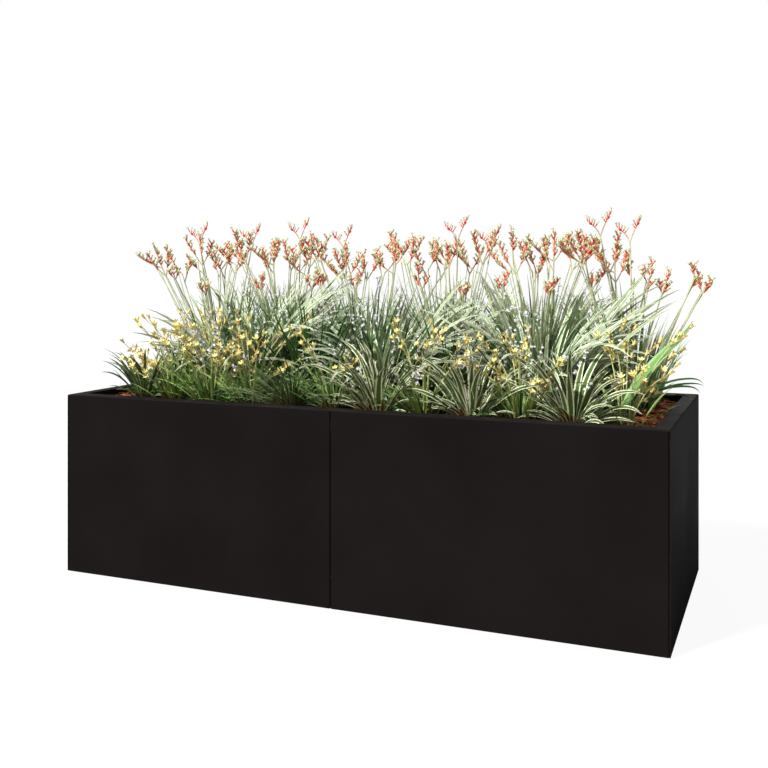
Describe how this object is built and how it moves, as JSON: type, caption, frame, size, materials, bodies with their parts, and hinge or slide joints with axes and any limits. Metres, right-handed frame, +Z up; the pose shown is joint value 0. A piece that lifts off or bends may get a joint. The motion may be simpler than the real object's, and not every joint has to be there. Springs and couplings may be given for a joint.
{
  "type": "trough planter",
  "caption": "Long rectangular trough planter of folded black steel panels bolted together, filled with gravel, soil and bark and planted with striped rosettes, grasses and tall flowers.",
  "frame": {"origin": "on the ground, at the centre of the planter's footprint", "axes": "+X along the length, +Y from the front face to the back face, +Z up"},
  "size_m": [2.1199, 0.8, 1.22],
  "materials": {
    "black_powder_coat": "fine matt powder coat over folded steel",
    "galvanised_steel": "galvanised, dull with faint spangle",
    "stainless_steel": "satin",
    "drainage_gravel": "rounded pebbles",
    "filter_felt": "needled felt",
    "potting_soil": "dark crumbly soil",
    "bark_chips": "rough reddish-brown bark",
    "striped_leaf": "green leaf with cream edges, satin",
    "green_leaf": "green leaf, satin",
    "silver_leaf": "silvery grey-green leaf, matt",
    "yellow_flower": "downy yellow petals with orange-brown bases",
    "red_flower": "downy red petals with pale green tips"
  },
  "bodies": {
    "root": {"front_left_panel": "black_powder_coat", "front_right_panel": "black_powder_coat", "back_left_panel": "black_powder_coat", "back_right_panel": "black_powder_coat", "left_end_panel": "black_powder_coat", "right_end_panel": "black_powder_coat", "cross_tie": "galvanised_steel", "floor_bearer_1": "galvanised_steel", "floor_bearer_2": "galvanised_steel", "floor_bearer_3": "galvanised_steel", "floor_bearer_4": "galvanised_steel", "floor_bearer_5": "galvanised_steel", "floor_bearer_6": "galvanised_steel", "left_floor_pan": "galvanised_steel", "right_floor_pan": "galvanised_steel", "seam_bolts": "stainless_steel", "seam_washers": "stainless_steel", "seam_nuts": "stainless_steel", "weld_studs": "stainless_steel", "corner_washers": "stainless_steel", "corner_nuts": "stainless_steel", "left_gravel_bed": "drainage_gravel", "right_gravel_bed": "drainage_gravel", "filter_mat": "filter_felt", "soil": "potting_soil", "bark_mulch": "bark_chips", "striped_rosette_1": "striped_leaf", "yellow_kangaroo_paw_1": "yellow_flower", "yellow_kangaroo_paw_2": "yellow_flower", "yellow_kangaroo_paw_3": "yellow_flower", "fine_leaved_tuft": "green_leaf", "yellow_kangaroo_paw_4": "yellow_flower", "striped_rosette_2": "striped_leaf", "yellow_kangaroo_paw_5": "yellow_flower", "striped_rosette_3": "striped_leaf", "yellow_kangaroo_paw_6": "yellow_flower", "striped_rosette_4": "striped_leaf", "yellow_kangaroo_paw_7": "yellow_flower", "green_grass_1": "green_leaf", "silver_clump_1": "silver_leaf", "green_grass_2": "green_leaf", "silver_clump_2": "silver_leaf", "green_grass_3": "green_leaf", "silver_clump_3": "silver_leaf", "green_grass_4": "green_leaf", "red_kangaroo_paw_1": "red_flower", "red_kangaroo_paw_2": "red_flower", "red_kangaroo_paw_3": "red_flower", "red_kangaroo_paw_4": "red_flower", "red_kangaroo_paw_5": "red_flower", "red_kangaroo_paw_6": "red_flower"}
  },
  "joints": []
}
